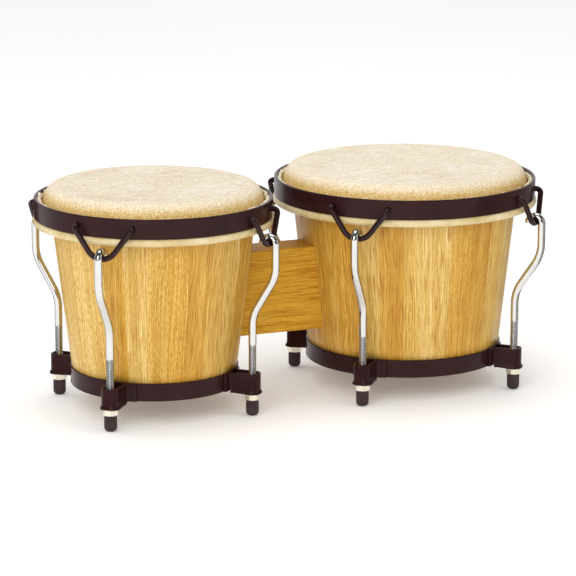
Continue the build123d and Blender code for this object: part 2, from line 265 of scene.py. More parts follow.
# ---- material helpers ---------------------------------------------------------------------------
class Graph:
    """A material's node tree, with short ways to add and join nodes."""

    def __init__(self, name, settings):
        self.material = bpy.data.materials.new(name)
        self.material.use_nodes = True
        self.tree = self.material.node_tree
        self.shader = self.tree.nodes["Principled BSDF"]
        for socket, value in settings.items():
            self.shader.inputs[socket].default_value = value

    def node(self, kind, settings=None, **inputs):
        """Adds a node. A text setting is an attribute, and each input is a value or a socket."""
        node = self.tree.nodes.new("ShaderNode" + kind)
        for key, value in (settings or {}).items():
            setattr(node, key, value)
        for key, value in inputs.items():
            self.feed(node.inputs[key.replace("_", " ")], value)
        return node

    def feed(self, socket, value):
        """Joins a socket to an input, or sets the input's value."""
        if isinstance(value, bpy.types.NodeSocket):
            self.tree.links.new(value, socket)
        else:
            socket.default_value = value

    def stretch(self, vector, scale, shift=(0, 0, 0)):
        """The coordinates times a scale, then moved."""
        node = self.node("Mapping", Vector=vector, Location=shift, Scale=scale)
        return node.outputs["Vector"]

    def noise(self, vector, detail=4.0, roughness=0.5, distortion=0.0):
        """Fractal noise from 0 to 1."""
        node = self.node("TexNoise", Vector=vector, Scale=1.0, Detail=detail, Roughness=roughness,
                         Distortion=distortion)
        return node.outputs["Fac"]

    def ramp(self, value, *stops):
        """A colour ramp of (position, colour) stops."""
        node = self.node("ValToRGB", Fac=value)
        band = node.color_ramp
        while len(band.elements) < len(stops):
            band.elements.new(0.5)
        for element, (position, colour) in zip(band.elements, stops):
            element.position = position
            element.color = colour if len(colour) == 4 else (*colour, 1.0)
        return node.outputs["Color"]

    def level(self, value, low, high, low_out=0.0, high_out=1.0):
        """The value's range low to high, spread over low_out to high_out and held there."""
        node = self.node("MapRange", {"clamp": True}, Value=value, From_Min=low, From_Max=high,
                         To_Min=low_out, To_Max=high_out)
        return node.outputs["Result"]

    def attribute(self, name):
        """A number stored in the mesh."""
        return self.node("Attribute", {"attribute_name": name}).outputs["Fac"]

    def place(self):
        """Coordinates in metres, in the frame at rest."""
        return self.node("TexCoord").outputs["Object"]

    def times(self, colour, tint):
        """A colour multiplied by a fixed one."""
        return self.mix(1.0, colour, (*tint, 1.0), "MULTIPLY")

    def maths(self, operation, first, second):
        """One arithmetic step."""
        node = self.node("Math", {"operation": operation})
        self.feed(node.inputs[0], first)
        self.feed(node.inputs[1], second)
        return node.outputs[0]

    def mix(self, factor, first, second, blend="MIX"):
        """A colour mix."""
        node = self.node("Mix", {"data_type": "RGBA", "blend_type": blend})
        self.feed(node.inputs[0], factor)
        self.feed(node.inputs[6], first)
        self.feed(node.inputs[7], second)
        return node.outputs[2]

    def bump(self, height, distance, strength, under=None):
        """Surface relief, on top of another relief if one is given."""
        node = self.node("Bump", Height=height, Distance=distance, Strength=strength)
        if under is not None:
            self.feed(node.inputs["Normal"], under)
        return node.outputs["Normal"]

    def finish(self, colour=None, roughness=None, normal=None):
        """Joins what varies over the surface to the shader."""
        for socket, value in (("Base Color", colour), ("Roughness", roughness), ("Normal", normal)):
            if value is not None:
                self.feed(self.shader.inputs[socket], value)
        return self.material


def grey(value):
    """A colour of equal parts."""
    return (value, value, value, 1.0)


def oak(name, plank, stave_looks, light, middle, dark):
    """Lacquered oak. plank is a function that gives coordinates across and along the grain.

    With stave_looks, the attributes "tone" and "fleck" set each stave's shade and how flecked it is.
    """
    coat, specular = (0.14, 0.25) if stave_looks else (0.0, 0.08)
    g = Graph(name, {"Coat Weight": coat, "Coat Roughness": 0.2, "Specular IOR Level": specular})
    grain = plank(g)
    wander = g.noise(g.stretch(grain, (26, 7, 26)), detail=3)
    bend = g.node("VectorMath", {"operation": "MULTIPLY_ADD"})
    g.feed(bend.inputs[0], g.node("CombineXYZ", X=wander, Y=0.0, Z=0.0).outputs[0])
    bend.inputs[1].default_value = (0.016, 0, 0)
    g.feed(bend.inputs[2], grain)
    grain = bend.outputs[0]
    broad = g.noise(g.stretch(grain, (70, 3, 70)), detail=3, roughness=0.55)
    lines = g.noise(g.stretch(grain, (740, 8, 740)), detail=4, roughness=0.62)
    fibre = g.noise(g.stretch(grain, (1500, 60, 1500)), detail=3, roughness=0.6)
    dash = g.noise(g.stretch(grain, (1250, 230, 1250)), detail=2, roughness=0.55)
    fleck = g.attribute("fleck") if stave_looks else 0.3
    rings = g.maths("ADD", g.maths("MULTIPLY", broad, 0.5), g.maths("MULTIPLY", lines, 0.5))
    colour = g.ramp(rings, (0.36, dark), (0.5, middle), (0.64, light))
    pale = g.times(colour, (1.22, 1.26, 1.5))
    deep = g.times(colour, (0.80, 0.70, 0.5))
    contrast = 1.0 if stave_looks else 0.5
    colour = g.mix(g.level(lines, 0.52, 0.66, 0.0, 0.6 * contrast), colour, pale)
    colour = g.mix(g.level(fibre, 0.48, 0.62, 0.0, 0.7 * contrast), colour, deep)
    pores = g.maths("MULTIPLY", g.level(dash, 0.51, 0.63), fleck)
    colour = g.mix(pores, colour, g.times(deep, (0.84, 0.70, 0.45)))
    glints = g.maths("MULTIPLY", g.level(dash, 0.46, 0.34), fleck)
    colour = g.mix(g.maths("MULTIPLY", glints, 0.6), colour, pale)
    vessel = g.noise(g.stretch(grain, (1250, 42, 1250)), detail=2, roughness=0.5)
    vessels = g.maths("MULTIPLY", g.level(vessel, 0.52, 0.60), g.maths("SUBTRACT", 1.1, fleck))
    colour = g.mix(vessels, colour, g.times(deep, (0.82, 0.68, 0.44)))
    if stave_looks:
        colour = tinted_staves(g, colour)
    relief = g.bump(pores, 0.00006, 0.5)
    relief = g.bump(fibre, 0.00003, 0.35, relief)
    return g.finish(colour, g.level(fibre, 0.2, 0.8, 0.34, 0.5), relief)


def tinted_staves(g, colour):
    """The wood's colour times each half-stave's tone, partly the wood's own and partly painted light
    and shade, and darker glue lines between staves.
    """
    # the palest, bluer shade also paints a pale reflection band on the staves given it
    deepest, plain, palest_and_sheen = (0.87, 0.70, 0.31), (0.95, 0.93, 0.85), (1.05, 1.13, 1.5)
    shade = g.ramp(g.attribute("tone"), (0.0, deepest), (0.5, plain), (1.0, palest_and_sheen))
    colour = g.mix(1.0, colour, shade, "MULTIPLY")
    glue = g.level(g.attribute("joint"), 0.82, 0.97, 0.0, 0.8)
    return g.mix(glue, colour, g.times(colour, (0.66, 0.55, 0.42)))


def stave_coordinates(g):
    """Across and along a stave, from the turned mesh's own map."""
    return g.node("UVMap", {"uv_map": "grain"}).outputs["UV"]


def block_coordinates(g):
    """The grain of the block runs along X."""
    parts = g.node("SeparateXYZ", Vector=g.place()).outputs
    return g.node("CombineXYZ", X=parts["Z"], Y=parts["X"], Z=parts["Y"]).outputs[0]


def rawhide():
    """Natural skin: pale scraped top, yellower mottled shoulder that deepens down the collar, partly
    as painted shade, fine fibres and a waxy sheen.
    """
    g = Graph("rawhide", {
        "Subsurface Weight": 0.12,
        "Subsurface Scale": 0.004,
        "Specular IOR Level": 0.32,
    })
    g.shader.inputs["Subsurface Radius"].default_value = (1.0, 0.7, 0.4)
    place = g.place()
    zone = g.attribute("shoulder")
    cloud = g.noise(g.stretch(place, (22, 22, 30)), detail=5, roughness=0.6)
    mottle = g.noise(g.stretch(place, (380, 380, 380)), detail=5, roughness=0.65)
    strands = g.noise(g.stretch(place, (200, 800, 400)), detail=4, roughness=0.65, distortion=0.8)
    grit = g.noise(g.stretch(place, (1100, 1100, 1100)), detail=3, roughness=0.6)
    scratched = g.stretch(place, (95, 420, 300), (3, 5, 7))
    streaks = g.noise(scratched, detail=4, roughness=0.65, distortion=1.2)
    patch = g.noise(g.stretch(place, (38, 38, 50), (9, 2, 4)), detail=5, roughness=0.65)
    dim, fair, pale = (0.68, 0.55, 0.38), (0.77, 0.68, 0.52), (0.84, 0.77, 0.65)
    scraped = g.ramp(cloud, (0.34, dim), (0.5, fair), (0.66, pale))
    scraped = g.mix(g.level(patch, 0.5, 0.66, 0.0, 0.8), scraped, (0.76, 0.66, 0.40, 1.0))
    scraped = g.mix(g.level(strands, 0.46, 0.62, 0.0, 0.9), scraped, (0.57, 0.43, 0.26, 1.0))
    scraped = g.mix(g.level(streaks, 0.5, 0.6, 0.0, 0.6), scraped, (0.92, 0.87, 0.79, 1.0))
    dim, fair, pale = (0.65, 0.49, 0.28), (0.74, 0.63, 0.45), (0.81, 0.75, 0.61)
    amber = g.ramp(mottle, (0.32, dim), (0.5, fair), (0.68, pale))
    # deeper amber down the collar: partly the hide's own colour, partly painted shade on its steep
    # sides
    tanned_and_shaded = g.times(amber, (0.89, 0.68, 0.24))
    colour = g.mix(g.ramp(zone, (0.0, grey(0.0)), (0.5, grey(1.0))), scraped, amber)
    colour = g.mix(g.level(zone, 0.5, 1.0), colour, tanned_and_shaded)
    brown = g.times(colour, (0.74, 0.58, 0.36))
    colour = g.mix(g.level(grit, 0.47, 0.36, 0.0, 0.6), colour, brown)
    colour = g.mix(g.level(grit, 0.53, 0.66, 0.0, 0.75), colour, (0.94, 0.89, 0.78, 1.0))
    roll = g.attribute("roll")
    dim, fair, pale = (0.56, 0.42, 0.18), (0.66, 0.53, 0.28), (0.74, 0.64, 0.40)
    smooth = g.ramp(patch, (0.35, dim), (0.5, fair), (0.65, pale))
    colour = g.mix(roll, colour, smooth)
    relief = g.bump(mottle, 0.00025, 0.5)
    relief = g.bump(grit, 0.00008, 0.6, relief)
    wax = g.maths("ADD", g.maths("MULTIPLY", roll, 0.22), g.maths("MULTIPLY", zone, 0.04))
    roughness = g.maths("SUBTRACT", g.level(mottle, 0.3, 0.7, 0.42, 0.6), wax)
    return g.finish(colour, roughness, relief)


def dark_paint(name, low, high, specular, smooth, rough):
    """Brown-black powder coat with a fine orange peel."""
    g = Graph(name, {"Specular IOR Level": specular})
    place = g.place()
    cloud = g.noise(g.stretch(place, (35, 35, 35)), detail=4)
    peel = g.noise(g.stretch(place, (700, 700, 700)), detail=2)
    dust = g.noise(g.stretch(place, (1500, 1500, 1500)), detail=2)
    colour = g.ramp(cloud, (0.3, low), (0.7, high))
    colour = g.mix(g.level(dust, 0.66, 0.75, 0.0, 0.3), colour, (0.06, 0.04, 0.04, 1.0))
    relief = g.bump(peel, 0.00004, 0.3)
    return g.finish(colour, g.level(cloud, 0.3, 0.7, smooth, rough), relief)


def plated(name, colour, stain, smooth, rough, edge=1.0, thread=None):
    """A plated metal with faint stains and a little uneven polish.

    edge is how much of its colour it keeps where it turns away; below 1 it paints shade along the
    outline, standing in for the dark surroundings a curved mirror shows at its edges.
    thread, if given, is the colour where the attribute "cut" is 1, which is also rougher.
    """
    # a Specular Tint below 1 darkens the grazing reflections: painted shade along the outline
    g = Graph(name, {"Metallic": 1.0, "Specular Tint": grey(edge)})
    place = g.place()
    cloud = g.noise(g.stretch(place, (60, 60, 60)), detail=5)
    fine = g.noise(g.stretch(place, (900, 900, 300)), detail=3)
    tint = g.mix(g.level(cloud, 0.4, 0.75, 0.0, 0.6), (*colour, 1.0), (*stain, 1.0))
    relief = g.bump(fine, 0.00002, 0.15)
    roughness = g.level(fine, 0.3, 0.7, smooth, rough)
    if thread:
        cut = g.attribute("cut")
        tint = g.mix(cut, tint, (*thread, 1.0))
        roughness = g.maths("ADD", roughness, g.maths("MULTIPLY", cut, 0.22))
    return g.finish(tint, roughness, relief)


def foot_rubber():
    """Moulded brown-black rubber with a dusty, slightly worn surface."""
    g = Graph("foot_rubber", {"Specular IOR Level": 0.25})
    place = g.place()
    cloud = g.noise(g.stretch(place, (160, 160, 160)), detail=4)
    fine = g.noise(g.stretch(place, (1600, 1600, 1600)), detail=3)
    colour = g.ramp(cloud, (0.3, (0.032, 0.015, 0.016)), (0.7, (0.052, 0.030, 0.032)))
    relief = g.bump(fine, 0.00006, 0.5)
    return g.finish(colour, g.level(cloud, 0.3, 0.7, 0.42, 0.6), relief)


# ---- what each drum measures --------------------------------------------------------------------
class Drum:
    """Places of one drum, read from its CAD nodes."""

    def __init__(self, name):
        self.name = name
        self.head_body = f"{name}_head_assembly"
        rim_low, rim_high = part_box(f"{name}_rim")
        self.x = (rim_low[0] + rim_high[0]) / 2
        self.rim_radius = (rim_high[0] - rim_low[0]) / 2
        self.rim_bottom = rim_low[2]
        self.rim_top = rim_high[2]
        band_low, band_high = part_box(f"{name}_band")
        self.band_radius = (band_high[0] - band_low[0]) / 2
        self.band_top = band_high[2]
        self.band_inner = self.band_radius - BAND_WALL
        shell_low, shell_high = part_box(f"{name}_shell")
        self.shell_bottom = shell_low[2]
        self.shell_top = shell_high[2]
        foot_low, foot_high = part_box(f"{name}_foot_1")
        foot_x = (foot_low[0] + foot_high[0]) / 2
        foot_y = (foot_low[1] + foot_high[1]) / 2
        self.rod_circle = math.hypot(foot_x - self.x, foot_y)
        self.foot_radius = (foot_high[0] - foot_low[0]) / 2
        self.foot_top = foot_high[2]
        self.head_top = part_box(f"{name}_head")[1][2]
        rod_low, rod_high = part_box(f"{name}_rod_1")
        self.hook_circle = (rod_high[0] - self.x - ROD_RADIUS) * math.sqrt(2) - HOOK_RADIUS
        self.hook_centre = rod_high[2] - ROD_RADIUS - HOOK_RADIUS
        self.rod_end = rod_low[2]
        self.ear_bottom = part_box(f"{name}_ear_1")[0][2]


# radii of each shell's cone just above the band and at the bearing edge
CONES = {"macho": (67.4 * MM, 85.4 * MM), "hembra": (80.4 * MM, 95.8 * MM)}

# how light each half of each stave is, anticlockwise from the +X side: partly the wood's own tone and
# partly painted light and shade, the palest also painting a reflection band
PALE_AND_SHEEN, FAIR, MIDDLE, DEEP = 1.0, 0.7, 0.4, 0.15
STAVE_TONES = {
    "macho": (
        (DEEP, DEEP), (FAIR, DEEP), (MIDDLE, DEEP), (FAIR, MIDDLE), (FAIR, MIDDLE),
        (MIDDLE, MIDDLE), (MIDDLE, PALE_AND_SHEEN), (PALE_AND_SHEEN, FAIR), (FAIR, FAIR), (DEEP, PALE_AND_SHEEN),
        (MIDDLE, DEEP), (DEEP, MIDDLE), (PALE_AND_SHEEN, MIDDLE), (FAIR, MIDDLE),
    ),
    "hembra": (
        (MIDDLE, DEEP), (MIDDLE, FAIR), (MIDDLE, DEEP), (PALE_AND_SHEEN, MIDDLE), (MIDDLE, MIDDLE),
        (DEEP, MIDDLE), (MIDDLE, MIDDLE), (DEEP, MIDDLE), (MIDDLE, DEEP), (FAIR, DEEP),
        (FAIR, PALE_AND_SHEEN), (DEEP, DEEP), (MIDDLE, FAIR), (MIDDLE, MIDDLE),
    ),
}
# how flecked each stave is, from 0 to 1, in the same order
STAVE_FLECKS = {
    "macho": (0.6, 0.5, 0.7, 0.4, 0.6, 0.8, 0.5, 0.7, 0.8, 0.4, 0.7, 0.2, 0.1, 0.3),
    "hembra": (0.3, 0.2, 0.4, 0.2, 0.3, 0.5, 0.2, 0.3, 0.2, 0.1, 0.3, 0.4, 0.2, 0.3),
}


# ---- pieces -------------------------------------------------------------------------------------
def shell_outline(drum):
    """Outline of a shell: the band's seat, the straight cone, the bearing edge and the inner wall."""
    low, top = CONES[drum.name]
    cone_top = drum.shell_top - BEARING_ROUND
    inside_round = BEARING_INNER_ROUND
    inside = (top - SHELL_WALL + inside_round, drum.shell_top - inside_round)
    steps = 18

    def radius_at(z):
        """Radius of the cone at a height."""
        return low + (top - low) * (z - drum.band_top) / (drum.shell_top - drum.band_top)

    outline = [(drum.band_inner - SHELL_WALL, drum.shell_bottom), (drum.band_inner, drum.shell_bottom)]
    outline += [(drum.band_inner, drum.band_top), (low, drum.band_top)]
    for i in range(1, steps + 1):
        z = drum.band_top + (cone_top - drum.band_top) * i / steps
        outline.append((radius_at(z), z))
    outline += arc((radius_at(cone_top) - BEARING_ROUND, cone_top), BEARING_ROUND, 10, 90, 10)
    outline += arc(inside, inside_round, 90, 180, 4)
    return outline


def build_shell(drum, material, seed):
    """The staved shell. Each half-stave has a tone, partly the wood's own and partly painted light and
    shade, and each stave's grain is moved and leaned a little.
    """
    outline = shell_outline(drum)
    segments = STAVES * STAVE_SEGMENTS
    half_stave = STAVE_SEGMENTS // 2
    shell = lathe(f"{drum.name}_staves", outline, drum.x, segments, material)

    def on_joint(vertex):
        """1 on the glue lines between staves."""
        return float(vertex.index // len(outline) % STAVE_SEGMENTS == half_stave)

    point_values(shell, "joint", on_joint)
    choose = random.Random(seed)
    moves = [(choose.uniform(0, 5), choose.uniform(0, 5)) for stave in range(STAVES)]
    leans = [choose.uniform(-0.03, 0.03) for stave in range(STAVES)]
    for name in ("tone", "fleck"):
        shell.data.attributes.new(name, "FLOAT", "FACE")
    tone = shell.data.attributes["tone"].data
    fleck = shell.data.attributes["fleck"].data
    layer = shell.data.uv_layers["grain"].data
    for polygon in shell.data.polygons:
        segment = polygon.index // len(outline)
        stave, place = divmod((segment + half_stave) % segments, STAVE_SEGMENTS)
        tone[polygon.index].value = STAVE_TONES[drum.name][stave][place // half_stave]
        fleck[polygon.index].value = STAVE_FLECKS[drum.name][stave]
        for loop in polygon.loop_indices:
            u, v = layer[loop].uv
            layer[loop].uv = (u + moves[stave][0] + leans[stave] * v, v + moves[stave][1])
    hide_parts(f"{drum.name}_shell")
    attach(shell, "shells")


class HeadShape:
    """Measures of a drum's head, worked out from its rim and its top."""

    def __init__(self, drum):
        self.top = drum.head_top
        self.roll_radius = drum.rim_radius - ROLL_INSET
        self.roll_height = drum.rim_bottom - ROLL_RADIUS
        self.collar_radius = self.roll_radius - ROLL_RADIUS * math.cos(COLLAR_ANGLE) + SKIN / 2
        self.collar_height = self.roll_height + ROLL_RADIUS * math.sin(COLLAR_ANGLE)
        self.corner_radius = self.collar_radius - COLLAR_LEAN
        run = self.collar_radius - self.corner_radius
        self.lean = math.degrees(math.atan2(run, self.top - self.collar_height))
        tangent = SHOULDER_RADIUS * math.tan(math.radians((90 - self.lean) / 2))
        self.centre = (self.corner_radius - tangent, self.top - SHOULDER_RADIUS)

    def outline(self):
        """The skin's closed outline, with the solid on its left."""
        rings, falls, inner_rings = 26, 10, 6
        flat = self.centre[0]
        top = [(flat * i / rings, self.top) for i in range(rings)]
        shoulder = arc(self.centre, SHOULDER_RADIUS, 90, self.lean, 18)
        start = shoulder[-1]
        collar = []
        for i in range(1, falls):
            t = i / falls
            radius = start[0] + (self.collar_radius - start[0]) * t
            collar.append((radius, start[1] + (self.collar_height - start[1]) * t))
        roll_centre = (self.roll_radius, self.roll_height)
        roll = arc(roll_centre, ROLL_RADIUS, 150, -150, 22)
        under_roll = arc(roll_centre, ROLL_RADIUS - SKIN, -150, -200, 4)
        inside = [(self.collar_radius - SKIN, self.collar_height)]
        inside += arc(self.centre, SHOULDER_RADIUS - SKIN, self.lean, 90, 8)
        for i in range(1, inner_rings + 1):
            inside.append((flat * (inner_rings - i) / inner_rings, self.top - SKIN))
        outline = top + shoulder + collar + roll + under_roll + inside
        return outline[::-1]


def uneven_skin(shape, seed):
    """A shift for lathe: a faint drape on the top, more on the collar and in the rolled edge."""

    def settle(angle, radius, height):
        """Moves one point of the outline."""
        x, y = math.cos(angle), math.sin(angle)
        soft = noise.noise(Vector((x * radius, y * radius, height + seed)) / DRAPE_SIZE)
        pleat = noise.noise(Vector((x * 22, y * 22, seed + height * 60)))
        low = smoothstep(shape.top - 6 * MM, shape.top - 22 * MM, height)
        inside_corner = 1 - smoothstep(shape.corner_radius - 10 * MM, shape.corner_radius, radius)
        on_top = smoothstep(0.0, 10 * MM, radius) * inside_corner
        above_roll = height > shape.roll_height + ROLL_RADIUS
        height += 0.10 * MM * soft * on_top - 0.10 * MM * on_top
        radius += (0.25 * soft + 0.45 * pleat) * MM * low * (1 if above_roll else 0.4)
        return radius, height

    return settle


def build_head(drum, material, seed):
    """Rawhide head: flat top, rolled shoulder, collar and the rolled edge under the rim."""
    shape = HeadShape(drum)
    head = lathe(f"{drum.name}_skin", shape.outline(), drum.x, 288, material, uneven_skin(shape, seed))

    def shoulder(vertex):
        """0 on the scraped top, 0.5 past its ragged edge and 1 lower down, where the colour deepens,
        partly as painted shade.
        """
        x, y, z = vertex.co
        radius = math.hypot(x - drum.x, y)
        ragged = 2.5 * MM * noise.noise(Vector((x, y, seed)) / (9 * MM))
        edge = shape.centre[0]
        amount = smoothstep(edge - 4 * MM, edge + 5 * MM, radius + ragged)
        # lower down the colour deepens: partly painted shade
        lower = smoothstep(shape.top - 1 * MM, shape.top - 9 * MM, z)
        return 0.5 * amount * (1 + lower)

    def roll(vertex):
        """1 on the rolled edge."""
        return smoothstep(drum.rim_bottom + 2 * MM, drum.rim_bottom - 1 * MM, vertex.co.z)

    point_values(head, "shoulder", shoulder)
    point_values(head, "roll", roll)
    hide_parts(f"{drum.name}_head")
    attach(head, drum.head_body)


def build_tucked_edge(drum, material, seed):
    """Rough trimmed edge of the hide, tucked up between the collar and the rim."""
    outer = drum.rim_radius - RIM_WALL - TUCK_GAP
    inner = outer - TUCK_THICKNESS
    bottom = drum.rim_bottom + TUCK_INSET
    top = drum.rim_top - TUCK_INSET
    steps = 14
    levels = [bottom + (top - bottom) * i / steps for i in range(steps + 1)]
    outline = [(outer, z) for z in levels] + [(inner, z) for z in reversed(levels)]

    def crumple(angle, radius, height):
        """Folds that grow, and an edge that rises and falls, towards the top."""
        place = Vector((math.cos(angle), math.sin(angle), 0)) * drum.rim_radius
        high = smoothstep(bottom, top, height)
        fold = noise.noise(Vector((place.x, place.y, seed * MM + height)) / FOLD_SIZE)
        wave = noise.noise(Vector((place.x, place.y, seed * MM)) / WAVE_SIZE)
        radius += (1.1 * fold - 0.5) * MM * high * (1.6 if radius < outer else 0.5)
        height += (1.8 * wave + 1.5 * fold - 0.6) * MM * high
        return radius, height

    edge = lathe(f"{drum.name}_tucked_edge", outline, drum.x, 720, material, crumple)
    point_values(edge, "shoulder", lambda vertex: TUCK_TONE)
    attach(edge, drum.head_body)


def rod_line(drum):
    """Centre line of a tuning rod drawn on +X, from the hook's tip to the threaded end."""
    hook = (drum.hook_circle, drum.hook_centre)
    shank = drum.hook_circle + HOOK_RADIUS
    line = [Vector(p) for p in arc(hook, HOOK_RADIUS, 180, 0, 24)]
    corners = [(shank, drum.hook_centre), (shank, ROD_HIGH_CORNER), (drum.rod_circle, ROD_LOW_CORNER)]
    corners.append((drum.rod_circle, THREAD_TOP + 4 * MM))
    line += run_through(corners, [ROD_CRANK_RADIUS, ROD_CRANK_RADIUS], 16)[1:]
    thread_steps = 8
    z = THREAD_TOP + 3.5 * MM
    while z > drum.foot_top:
        line.append(Vector((drum.rod_circle, z)))
        z -= THREAD_PITCH / thread_steps
    line.append(Vector((drum.rod_circle, drum.rod_end)))
    return line


def build_rods(drum, material):
    """Hooked rods with a cut thread over the lower end."""

    def radius_at(height, turn):
        """Plain rod, with a thread that fades out at its top."""
        cut = 1 - smoothstep(THREAD_TOP - THREAD_PITCH, THREAD_TOP + 1.5 * THREAD_PITCH, height)
        phase = (height / THREAD_PITCH + turn / (2 * math.pi)) % 1.0
        groove = 1 - min(1.0, 2.2 * abs(phase - 0.5))
        return ROD_RADIUS - cut * THREAD_DEPTH * groove

    def on_thread(vertex):
        """1 where the thread is cut."""
        return 1 - smoothstep(THREAD_TOP, THREAD_TOP + THREAD_PITCH, vertex.co.z)

    shape = tube(f"{drum.name}_rod_shape", rod_line(drum), 28, material, radius_at)
    point_values(shape, "cut", on_thread)
    copy_to_lugs(shape, drum, "threaded_rod", "rod", drum.head_body)


def ear_line(drum):
    """Middle line of the ear's strap in plan, from one tab's end to the other's, drawn on +X."""
    middle = drum.band_radius + EAR_WALL / 2
    half = EAR_WIDTH / 2 - EAR_WALL / 2
    front = drum.rod_circle + EAR_FRONT - EAR_WALL / 2
    reach = (EAR_WIDTH / 2 + EAR_TAB) / middle
    inner = EAR_ROUND + EAR_WALL / 2
    outer = EAR_FRONT_RADIUS - EAR_WALL / 2
    lean = math.asin((half + inner) / (middle + inner))
    blend = ((middle + inner) * math.cos(lean), half + inner)
    side = arc((0, 0), middle, math.degrees(reach), math.degrees(lean), 8)
    side += arc(blend, inner, 180 + math.degrees(lean), 270, 6)[1:]
    side += arc((front - outer, half - outer), outer, 90, 0, 10)
    mirrored = [(x, -y) for x, y in reversed(side)]
    return side + mirrored


def ear_section(bottom, top):
    """Section of the strap as (offset, height) points, and how far each one is flared."""
    half = EAR_WALL / 2
    edge = 0.5 * MM
    section = arc((half - edge, top - edge), edge, 0, 90, 3)
    section += arc((edge - half, top - edge), edge, 90, 180, 3)
    section += [(-half, bottom + 0.4 * MM), (-half, bottom)]
    flare = [0.0] * len(section)
    section += [(half, bottom), (half, bottom + 0.9 * MM)]
    section += [(half, bottom + 2.2 * MM), (half, bottom + 3.5 * MM)]
    flare += [0.85 * EAR_LIP, EAR_LIP, 0.35 * EAR_LIP, 0.0]
    return section, flare


def build_ears(drum, material):
    """Bent straps with a flared lower lip and a drilled floor. The tabs end at the shell's foot."""
    line = [Vector(p) for p in ear_line(drum)]
    bottom = drum.ear_bottom
    section, flare = ear_section(bottom, drum.band_top)
    vertices = []
    for i, point in enumerate(line):
        before = line[max(i - 1, 0)]
        after = line[min(i + 1, len(line) - 1)]
        along = (after - before).normalized()
        out = Vector((-along.y, along.x))
        clear = smoothstep(drum.band_radius + 1.5 * MM, drum.band_radius + 5 * MM, point.x)
        raised = (1 - clear) * (drum.shell_bottom - bottom)
        for (offset, height), grow in zip(section, flare):
            low = 1 - smoothstep(bottom, bottom + 4 * MM, height)
            spot = point + out * (offset + clear * grow)
            vertices.append((spot.x, spot.y, height + raised * low))
    faces = bar_faces(len(line), len(section))
    floor_vertices, floor_faces = ear_floor(drum, line, bottom)
    first = len(vertices)
    vertices += floor_vertices
    faces += [tuple(first + index for index in face) for face in floor_faces]
    shape = new_piece(f"{drum.name}_ear_shape", vertices, faces, material)
    copy_to_lugs(shape, drum, "bent_ear", "ear", "shells")


def ear_floor(drum, line, bottom):
    """Plate inside the strap, with the rod's hole."""
    centre = Vector((drum.rod_circle, 0))
    rim = [p for p in line if p.x > drum.band_radius + 1.0 * MM]
    hole = [centre + (point - centre).normalized() * EAR_HOLE_RADIUS for point in rim]
    heights = (bottom + 0.1 * MM, bottom + EAR_WALL)
    vertices = []
    for ring in (rim, hole):
        for height in heights:
            vertices += [(p.x, p.y, height) for p in ring]
    count = len(rim)
    outer_low, outer_high, hole_low, hole_high = (i * count for i in range(4))
    faces = []
    for i in range(count):
        k = (i + 1) % count
        faces.append((outer_low + i, outer_low + k, hole_low + k, hole_low + i))
        faces.append((outer_high + k, outer_high + i, hole_high + i, hole_high + k))
        faces.append((hole_low + i, hole_low + k, hole_high + k, hole_high + i))
        faces.append((outer_low + k, outer_low + i, outer_high + i, outer_high + k))
    return vertices, faces


def build_feet(drum, material):
    """Moulded rubber caps with a small lip round the mouth and a worn flat under the round end."""
    top = drum.foot_top
    radius = drum.foot_radius
    flat = 1.6 * MM
    round_end = radius - flat
    mouth = ROD_RADIUS + 0.1 * MM
    lip = 0.35 * MM
    outline = [(0.0, 0.0), (flat, 0.0)]
    outline += arc((flat, round_end), round_end, -90, 0, 12)[1:]
    outline += [(radius, top - 2.2 * MM), (radius - 0.12 * MM, top - 1.5 * MM)]
    outline += [(radius - lip / 3, top - 1.2 * MM)]
    outline += arc((radius - lip, top - lip), lip, 0, 90, 4)
    outline += [(mouth, top), (mouth, top - FOOT_BORE_DEPTH), (0.0, top - FOOT_BORE_DEPTH)]
    shape = lathe(f"{drum.name}_foot_shape", outline, 0.0, 48, material)
    for vertex in shape.data.vertices:
        vertex.co.x += drum.rod_circle
    copy_to_lugs(shape, drum, "rubber_foot", "foot", "shells")


def repaint(node, material):
    """Gives a CAD node a better material."""
    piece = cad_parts[node]
    piece.data.materials.clear()
    piece.data.materials.append(material)


def keep_cad_nodes(drum, paint, gloss, zinc, wire):
    """CAD nodes whose shape is already right."""
    repaint(f"{drum.name}_rim", paint)
    repaint(f"{drum.name}_band", paint)
    for number in range(1, len(LUG_ANGLES) + 1):
        repaint(f"{drum.name}_loop_{number}", gloss)
        repaint(f"{drum.name}_nut_{number}", zinc)
    repaint(f"{drum.name}_washers", zinc)
    repaint(f"{drum.name}_saddles", zinc)
    repaint(f"{drum.name}_flesh_hoop", wire)


# ---- studio -------------------------------------------------------------------------------------
def build_floor():
    """A plain pale floor, far larger than the view."""
    g = Graph("studio_floor", {"Roughness": 0.9, "Specular IOR Level": 0.1, "Emission Strength": 0.14})
    place = g.place()
    cloud = g.noise(g.stretch(place, (1.5, 1.5, 1.5)), detail=2)
    g.finish(g.ramp(cloud, (0.3, (0.93, 0.93, 0.93)), (0.7, (0.95, 0.95, 0.95))))
    corners = [(x * FLOOR_HALF, y * FLOOR_HALF, 0) for x, y in ((-1, -1), (1, -1), (1, 1), (-1, 1))]
    floor = new_piece("studio_floor", corners, [(0, 1, 2, 3)], g.material)


